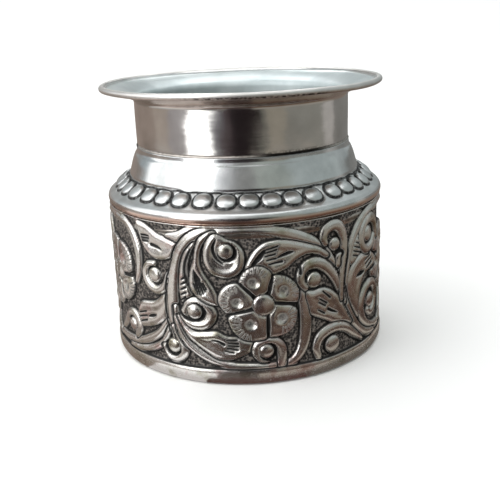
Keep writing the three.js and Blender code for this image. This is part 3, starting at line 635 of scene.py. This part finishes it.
def makePlate():
    s = plateSize
    line = [(0, s["low"]), *evenLine([(0.8, s["low"]), (s["radius"], s["low"])], s["step"])]
    upper = evenLine([(s["radius"] - 0.05, s["high"]), (0.8, s["high"])], s["step"])
    line += [(s["radius"], s["high"]), *upper, (0, s["high"])]
    plate = turnSection("planished_base", line, 180)
    azimuth, r, z = readPoints(plate)
    dents = ripple(r * np.sin(azimuth) / 38, r * np.cos(azimuth), 31, 9) * ramp(36 - r, 0, 3)
    writePoints(plate, azimuth, r, np.where(z > (s["low"] + s["high"]) / 2, z + s["dent"] * dents - 0.1, z))
    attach(plate, "root")
    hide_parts("base_plate")
    return plate


# each soldered joint: what fills the gap and the fillet at its mouth
solderLines = dict(
    neck_solder=[(30.505, 59.95), (30.505, 58.3), (30.545, 58.3), (30.545, 59.31), (30.75, 59.33),
                 (30.68, 59.45), (30.58, 59.62)],
    shoulder_solder=[(38.99, 40.85), (38.99, 42.3), (38.93, 42.3), (38.93, 41.28), (38.47, 41.28),
                     (38.7, 41.15), (38.88, 41.0)],
    base_solder=[(35.2, 0.765), (36.5, 0.765), (36.5, 0.715), (35.9, 0.715), (35.9, 0.25), (35.75, 0.5),
                 (35.5, 0.66)])


def makeSolder(name, line):
    seam = turnSection(name, line + [line[0]], 240)
    if name == "neck_solder":
        azimuth, _, z = readPoints(seam)
        paint(seam, "soot", seamSoot(azimuth, z))
    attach(seam, "root")
    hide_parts(name + "_seam")
    return seam


def colour(code):  # sRGB hex to linear
    parts = [int(code[i:i + 2], 16) / 255 for i in (1, 3, 5)]
    return (*(c / 12.92 if c <= 0.04045 else ((c + 0.055) / 1.055) ** 2.4 for c in parts), 1)


def join(node, links):  # links by input, each from a socket or from a node's first output in use
    for key, source in links.items():
        if isinstance(source, bpy.types.Node):
            source = next(output for output in source.outputs if output.enabled)
        node.id_data.links.new(source, node.inputs[key])


def addNode(tree, kind, settings={}, links={}):  # settings by name or input. A Mix has its colours at 6 and 7
    node = tree.nodes.new("ShaderNode" + kind)
    for key, value in settings.items():
        if key == "stops":
            stops = node.color_ramp.elements
            stops.remove(stops[1])
            stops[0].position, stops[0].color = value[0][0], colour(value[0][1])
            for place, shade in value[1:]:
                stops.new(place).color = colour(shade)
        elif isinstance(key, str) and hasattr(node, key):
            setattr(node, key, value)
        else:
            node.inputs[key].default_value = value
    join(node, links)
    return node


def newFinish(name, *painted):  # a material with what adds its nodes, its shader, place and painted numbers
    finish = bpy.data.materials.new(name)
    finish.use_nodes = True
    add = partial(addNode, finish.node_tree)
    place = add("TexCoord").outputs["Object"]
    numbers = [add("Attribute", {"attribute_name": layer}).outputs["Fac"] for layer in painted]
    return finish, add, finish.node_tree.nodes["Principled BSDF"], place, *numbers


# Sheet chased from the front, blackened all over and rubbed back. Worn backs shine in warm and cool clouds of
# tarnish, outlines stay black, and the punched ground stays rough and dark with a grey glint on each burr.
# In the knobs' hollows part of the black, and in the petals' eyes all of it, is painted shade.
def chasedSilver():
    finish, add, shader, place, dark, line = newFinish("Sterling silver sheet, chased and oxidised",
                                                        "dark", "chasedLine")
    cloud = add("TexNoise", {"Scale": 1 / (7 * mm), "Detail": 4, "Roughness": 0.6}, {"Vector": place})
    grain = add("TexNoise", {"Scale": 1 / (0.9 * mm), "Detail": 3, "Roughness": 0.6}, {"Vector": place})
    punch = add("TexVoronoi", {"Scale": 1 / (0.66 * mm), "Randomness": 0.9}, {"Vector": place})
    clouds = [(0.28, "#a8a593"), (0.44, "#d6d4cf"), (0.56, "#dad7d3"), (0.66, "#c6b4b0"), (0.78, "#a8918a")]
    tarnish = add("ValToRGB", {"stops": clouds}, {"Fac": cloud})
    marks = [(0.26, "#080706"), (0.46, "#332d2a"), (0.8, "#7e766f")]
    ground = add("ValToRGB", {"stops": marks}, {"Fac": punch})
    lineRange = {"From Min": 0.4, "From Max": 0.14, "interpolation_type": "SMOOTHSTEP"}
    outline = add("MapRange", lineRange, {"Value": line})
    broken = add("Math", {"operation": "MULTIPLY_ADD", 1: 0.35, 2: -0.17}, {0: grain})
    # oxide blackening, with painted shade added in the knobs' hollows and the petals' eyes
    blackened = add("Math", {"operation": "ADD", "use_clamp": True}, {0: dark, 1: broken})
    rubbed = add("Mix", {"data_type": "RGBA"}, {0: blackened, 6: tarnish, 7: ground})
    lined = add("Mix", {"data_type": "RGBA", 7: colour("#0b0908")}, {0: outline, 6: rubbed})
    sooty = add("Math", {"operation": "MAXIMUM"}, {0: blackened, 1: outline})
    metal = add("MapRange", {"To Min": 1.0, "To Max": 0.2}, {"Value": sooty})
    rough = add("MapRange", {"To Min": 0.24, "To Max": 0.7}, {"Value": sooty})
    fine = add("Bump", {"Strength": 0.35, "Distance": 0.05 * mm}, {"Height": grain})
    pits = add("Math", {"operation": "MULTIPLY"}, {0: punch, 1: dark})
    dots = add("Bump", {"Strength": 0.8, "Distance": 0.25 * mm}, {"Height": pits, "Normal": fine})
    join(shader, {"Base Color": lined, "Metallic": metal, "Roughness": rough, "Normal": dots})
    return finish


# The same sheet burnished by hand. It mirrors softly, with speckled soot left round the beads and in the
# neck's joint, and a copper-brown painted reflection under the rounded edge.
def shoulderSilver():
    finish, add, shader, place, line, dark, under, seam, beadZone = newFinish(
        "Sterling silver sheet, burnished over the beads",
        "chasedLine", "dark", "underEdge", "seam", "beadZone")
    cloud = add("TexNoise", {"Scale": 1 / (6 * mm), "Detail": 4}, {"Vector": place})
    grain = add("TexNoise", {"Scale": 1 / (0.7 * mm), "Detail": 3}, {"Vector": place})
    bright = add("ValToRGB", {"stops": [(0.35, "#c3c6c6"), (0.65, "#dadcdc")]}, {"Fac": cloud})
    # the underside of the rounded edge painted copper-brown, a painted reflection of brown surroundings
    browned = add("Mix", {"data_type": "RGBA", 7: colour("#dcc3b6")}, {0: under, 6: bright})
    lineRange = {"From Min": 0.5, "From Max": 0.22, "interpolation_type": "SMOOTHSTEP"}
    outline = add("MapRange", lineRange, {"Value": line})
    speckled = {"operation": "MULTIPLY_ADD", "use_clamp": True, 1: 0.8, 2: 0.55}
    speck = add("Math", speckled, {0: grain})
    chased = add("Math", {"operation": "MAXIMUM"}, {0: outline, 1: dark})
    soot = add("Math", {"operation": "MAXIMUM"}, {0: chased, 1: seam})
    sooty = add("Math", {"operation": "MULTIPLY"}, {0: soot, 1: speck})
    shade = add("Mix", {"data_type": "RGBA", 7: colour("#0b0a09")}, {0: sooty, 6: browned})
    metal = add("MapRange", {"To Min": 1.0, "To Max": 0.35}, {"Value": sooty})
    burnished = add("MapRange", {"To Min": 0.2, "To Max": 0.32}, {"Value": beadZone})
    rough = add("MapRange", {"To Max": 0.6}, {"Value": sooty, "To Min": burnished})
    fine = add("Bump", {"Strength": 0.25, "Distance": 0.05 * mm}, {"Height": grain})
    join(shader, {"Base Color": shade, "Metallic": metal, "Roughness": rough, "Normal": fine})
    return finish


# Sheet spun on a lathe and polished by hand round the pot, pickled pale and matt inside. Outside it mirrors,
# and the polishing smears each reflection sideways in streaks. Soot stays under the lip and in the joint.
def spunSilver():
    finish, add, shader, place, inside, under, crevice, dull = newFinish(
        "Sterling silver sheet, spun and polished", "inside", "underFlare", "crevice", "dull")
    # lathe lines 0.2 mm apart
    rings = add("Mapping", {"Scale": (8, 8, 900)}, {"Vector": place})
    spun = add("TexNoise", {"Scale": 6, "Detail": 4, "Roughness": 0.65}, {"Vector": rings})
    cloud = add("TexNoise", {"Scale": 1 / (9 * mm), "Detail": 4}, {"Vector": place})
    grain = add("TexNoise", {"Scale": 1 / (0.7 * mm), "Detail": 3}, {"Vector": place})
    polished = add("ValToRGB", {"stops": [(0.35, "#cbc9c6"), (0.65, "#dcdad7")]}, {"Fac": cloud})
    pickled = add("ValToRGB", {"stops": [(0.35, "#aab4b6"), (0.65, "#c5cdce")]}, {"Fac": cloud})
    both = add("Mix", {"data_type": "RGBA"}, {0: inside, 6: polished, 7: pickled})
    # the underside of the flare painted brown, a painted shade
    browned = add("Mix", {"data_type": "RGBA", 7: colour("#cdbfb7")}, {0: under, 6: both})
    broken = add("MapRange", {"From Min": 0.38, "From Max": 0.56}, {"Value": grain})
    soot = add("Math", {"operation": "MULTIPLY"}, {0: crevice, 1: broken})
    sooty = add("Mix", {"data_type": "RGBA", 7: colour("#0e0c0b")}, {0: soot, 6: browned})
    metal = add("MapRange", {"To Min": 1.0, "To Max": 0.65}, {"Value": inside})
    flared = add("MapRange", {"To Min": 0.16, "To Max": 0.33}, {"Value": inside})
    rough = add("MapRange", {"To Max": 0.62}, {"Value": dull, "To Min": flared})
    lines = add("Bump", {"Strength": 0.3, "Distance": 0.03 * mm}, {"Height": spun})
    # polishing streaks, 17 mm long and 0.9 mm high, drawn coarser than the real ones so that they show
    drag = add("Mapping", {"Scale": (60, 60, 1100)}, {"Vector": place})
    waver = add("TexNoise", {"Scale": 1, "Detail": 3, "Roughness": 0.7}, {"Vector": drag})
    waverRange = {"From Min": 0.3, "From Max": 0.7, "To Min": -0.55, "To Max": 0.55}
    amount = add("MapRange", waverRange, {"Value": waver})
    aroundPot = add("VectorMath", {"operation": "CROSS_PRODUCT", 0: (0, 0, 1)}, {1: place})
    sideways = add("VectorMath", {"operation": "SCALE"}, {0: aroundPot, "Scale": amount})
    tilted = add("VectorMath", {"operation": "ADD"}, {0: lines, 1: sideways})
    smeared = add("VectorMath", {"operation": "NORMALIZE"}, {0: tilted})
    join(shader, {"Base Color": sooty, "Metallic": metal, "Roughness": rough, "Normal": smeared})
    return finish


# Silver left as the tool made it, so its shine is soft, with cloudy greys and low bumps that break it up.
def plainSilver(name, low, high, size, rough, depth):  # two greys, sizes of cloud and bump in mm
    finish, add, shader, place, soot = newFinish(name, "soot")
    cloud = add("TexNoise", {"Scale": 1 / (size * mm), "Detail": 5}, {"Vector": place})
    shade = add("ValToRGB", {"stops": [(0.35, low), (0.65, high)]}, {"Fac": cloud})
    sooty = add("Mix", {"data_type": "RGBA", 7: colour("#0e0c0b")}, {0: soot, 6: shade})
    bump = add("Bump", {"Strength": 0.4, "Distance": depth * mm}, {"Height": cloud})
    shader.inputs["Metallic"].default_value = 1
    shader.inputs["Roughness"].default_value = rough
    join(shader, {"Base Color": sooty, "Normal": bump})
    return finish


def dress(piece, finish):
    piece.data.materials.clear()
    piece.data.materials.append(finish)


wall = makeWall()
shoulder = makeShoulder()
neck = makeNeck()
wire = makeWire()
plate = makePlate()
seams = [makeSolder(name, line) for name, line in solderLines.items()]
print("wire, plate and solder made")
dress(wall, chasedSilver())
dress(shoulder, shoulderSilver())
dress(neck, spunSilver())
# drawn wire has a faint grain
dress(wire, plainSilver("Silver wire, drawn", "#a9a39d", "#c9c4bd", size=0.8, rough=0.35, depth=0.03))
# planished plate has broad dents that bend what it mirrors
dress(plate, plainSilver("Sterling silver plate, planished", "#a39b93", "#c2bcb5",
                         size=5, rough=0.33, depth=0.2))
# solder that has flowed has a dull, uneven skin
for seam in seams:
    dress(seam, plainSilver("Hard silver solder, flowed", "#a59f99", "#cbc6c0",
                            size=1.2, rough=0.45, depth=0.08))
print("finishes given")


# fitted to the rim, neck, seam and foot in the photograph, in mm and degrees
view = dict(back=226.85, height=96.30, lens=56.15, sensor=36, pitch=17.418, roll=-2.178, yaw=0.237)


def makeCamera():
    v = view
    bpy.ops.object.camera_add(location=(0, -v["back"] * mm, v["height"] * mm))
    camera = bpy.context.object
    camera.data.sensor_width = v["sensor"]
    camera.data.lens = v["lens"]
    pitch, roll, yaw = (math.radians(v[name]) for name in ("pitch", "roll", "yaw"))
    forward = Vector((math.sin(yaw) * math.cos(pitch), math.cos(yaw) * math.cos(pitch), -math.sin(pitch)))
    side = Vector((math.cos(yaw), -math.sin(yaw), 0))
    upright = side.cross(forward)
    across = math.cos(roll) * side + math.sin(roll) * upright
    upward = math.cos(roll) * upright - math.sin(roll) * side
    camera.matrix_world = Matrix(((across.x, upward.x, -forward.x, 0),
                                  (across.y, upward.y, -forward.y, -v["back"] * mm),
                                  (across.z, upward.z, -forward.z, v["height"] * mm), (0, 0, 0, 1)))
    bpy.context.scene.camera = camera


# Paper that scatters all light evenly, so the floor and backdrop run into one white with only a soft shadow.
def makeSweep():  # flat round the pot, then rising gently all round to hide the horizon
    rise = [(900 + 2400 * i / 12, 520 * (i / 12) ** 2) for i in range(13)]
    sweep = turnSection("paper_sweep", [(0, 0), (300, 0), *rise], 96)
    paper, _, shader, _ = newFinish("White paper sweep, matt")
    shader.inputs["Base Color"].default_value = colour("#fafafa")
    shader.inputs["Roughness"].default_value = 0.95
    dress(sweep, paper)


# Card and cloth round the pot, seen only in the silver. A place is two (distance, height) ends in mm, and a
# card has its shade, strength, from and to degrees round from the front, and place.
places = dict(tall=((330, 0), (330, 420)), rear=((330, 0), (330, 300)), front=((330, 120), (330, 420)),
              window=((600, 230), (600, 400)), low=((325, 0), (325, 75)), lowFront=((325, 0), (325, 120)),
              over=((600, 310), (600, 1300)), shine=((590, 560), (590, 1250)),
              shorter=((590, 560), (590, 1150)), sky=((1, 760), (420, 760)), far=((150, 0.3), (330, 0.3)),
              half=((105, 0.3), (150, 0.3)), near=((70, 0.3), (105, 0.3)), table=((70, 0.3), (330, 0.3)),
              close=((52, 0.2), (71, 0.2)), byFoot=((44.5, 0.2), (52, 0.2)),
              foot=((38.6, 0.15), (44.5, 0.15)))
surroundings = dict(
    back_left=("#a8a8a6", 1, -182, -128, "rear"),
    dim_left=("#b4bcc0", 1, -128, -108, "tall"),
    pale_left=("#ffffff", 1.7, -108, -62, "tall"),
    window=("#ffffff", 3.2, -58, -31, "tall"),
    window_high=("#ffffff", 11, -60, -28, "window"),
    grey_front=("#f2f2f4", 1.15, -33, -22, "front"),
    dusk_front=("#cfcfd1", 1, -22, -10, "front"),
    black_front=("#92918f", 1, -10, 9, "front"),
    green_front=("#a9aea8", 1, 9, 20, "front"),
    warm_right=("#a9afa9", 1, 20, 44, "front"),
    grey_right=("#b2bab9", 1, 44, 108, "tall"),
    back_right=("#a9afaf", 1, 108, 178, "rear"),
    low_left=("#998b82", 1, -182, -100, "low"),
    low_pale=("#ab9f95", 1, -100, -78, "low"),
    low_lilac=("#a49fa0", 1, -78, -58, "low"),
    low_grey=("#66646a", 1, -29, -21, "lowFront"),
    low_plum=("#43373a", 1, -21, -11, "lowFront"),
    low_black=("#1d1517", 1, -11, 17, "lowFront"),
    low_dusk=("#6a6a64", 1, 17, 23, "lowFront"),
    low_warm=("#9a9488", 1, 23, 44, "lowFront"),
    low_right=("#898882", 1, 44, 92, "low"),
    low_light=("#b6b3b0", 1, 92, 108, "low"),
    low_back=("#82817e", 1, 108, 178, "low"),
    mouth_left=("#dfe7e9", 0.72, -190, -100, "over"),
    mouth_right=("#eaf1f2", 0.9, 100, 170, "over"),
    shine_left=("#ffffff", 5, -175, -150, "shine"),
    shine_right=("#ffffff", 3.6, 156, 177, "shorter"),
    sky_left=("#ffffff", 2.3, -110, -40, "sky"),
    sky_right=("#f6f8f8", 1.9, -40, 110, "sky"),
    sky_back=("#9aa1a3", 1, 110, 250, "sky"),
    table_left=("#c4bfbb", 1, -105, -36, "far"),
    table_left_half=("#f2efec", 1, -105, -36, "half"),
    table_left_near=("#dcd2cc", 1, -105, -36, "near"),
    table_dusk=("#75706d", 1, -36, -15, "far"),
    table_dusk_half=("#8a8480", 1, -36, -15, "half"),
    table_dusk_near=("#6e5d56", 1, -36, -15, "near"),
    table_dark=("#241c1e", 1, -15, 9, "far"),
    table_dark_half=("#575050", 1, -15, 9, "half"),
    table_dark_near=("#463833", 1, -15, 9, "near"),
    table_right=("#9d978f", 1, 9, 110, "far"),
    table_right_half=("#8b8478", 1, 9, 110, "half"),
    table_right_near=("#6c584d", 1, 9, 110, "near"),
    table_back=("#857b73", 1, 110, 255, "table"),
    by_foot_left=("#a39a90", 1, -150, -47, "byFoot"),
    by_foot_white=("#ffffff", 1.3, -47, -15, "byFoot"),
    by_foot_dark=("#5a5550", 1, -15, 3, "byFoot"),
    by_foot_right=("#b5ada3", 1, 3, 120, "byFoot"),
    by_foot_back=("#857b73", 1, 120, 210, "byFoot"),
    foot_left=("#8f8177", 1, -150, -47, "foot"),
    foot_white=("#dedada", 1, -47, -18, "foot"),
    foot_dark=("#5e4945", 1, -18, 22, "foot"),
    foot_right=("#6b655f", 1, 22, 120, "foot"),
    foot_back=("#6b625c", 1, 120, 210, "foot"),
    near_left=("#9b908a", 1, -150, -36, "close"),
    near_front=("#4c3b34", 1, -36, 210, "close"))


# A lit card gives the silver something plain to mirror, and lights nothing else.
def addCard(name, shade, strength, fromAngle, toAngle, place):
    steps = max(3, round((toAngle - fromAngle) / 5))
    card = turnSection(name, places[place], steps, math.radians(toAngle - fromAngle))
    azimuth, r, z = readPoints(card)
    # the spin runs clockwise from the side
    writePoints(card, math.radians(fromAngle) + math.pi / 2 - azimuth, r, z)
    card.visible_camera = card.visible_diffuse = card.visible_shadow = False
    paper, _, shader, _ = newFinish(name + " card, lit")
    shader.inputs["Base Color"].default_value = colour("#000000")
    shader.inputs["Roughness"].default_value = 1
    shader.inputs["Specular IOR Level"].default_value = 0
    shader.inputs["Emission Color"].default_value = colour(shade)
    shader.inputs["Emission Strength"].default_value = strength
    dress(card, paper)


# power, place, size and aim in watts and metres
softboxes = dict(overhead_softbox=(100, (-0.4, 0.6, 2.6), (4.5, 4.5), (0, 0.6, 0)),
                 left_softbox=(1.5, (-0.55, -0.25, 0.75), (0.5, 0.5), (0, 0, 0.04)))


def addSoftbox(name, power, place, size, aim):
    bpy.ops.object.light_add(type="AREA", location=place)
    lamp = bpy.context.object
    lamp.name = name
    lamp.data.shape = "RECTANGLE"
    lamp.data.size, lamp.data.size_y = size
    lamp.data.energy = power
    lamp.rotation_euler = (Vector(aim) - Vector(place)).to_track_quat("-Z", "Y").to_euler()
    lamp.visible_camera = False
    lamp.visible_glossy = name != "overhead_softbox"


makeCamera()
makeSweep()
for name, values in surroundings.items():
    addCard(name, *values)
for name, values in softboxes.items():
    addSoftbox(name, *values)
# a pale room, so that nothing in the silver goes quite black
world = bpy.context.scene.world or bpy.data.worlds.new("room")
bpy.context.scene.world = world
world.use_nodes = True
world.node_tree.nodes["Background"].inputs[0].default_value = colour("#f0f5f2")
world.node_tree.nodes["Background"].inputs[1].default_value = 0.45
bpy.context.scene.view_settings.view_transform = "Standard"
print("studio set")
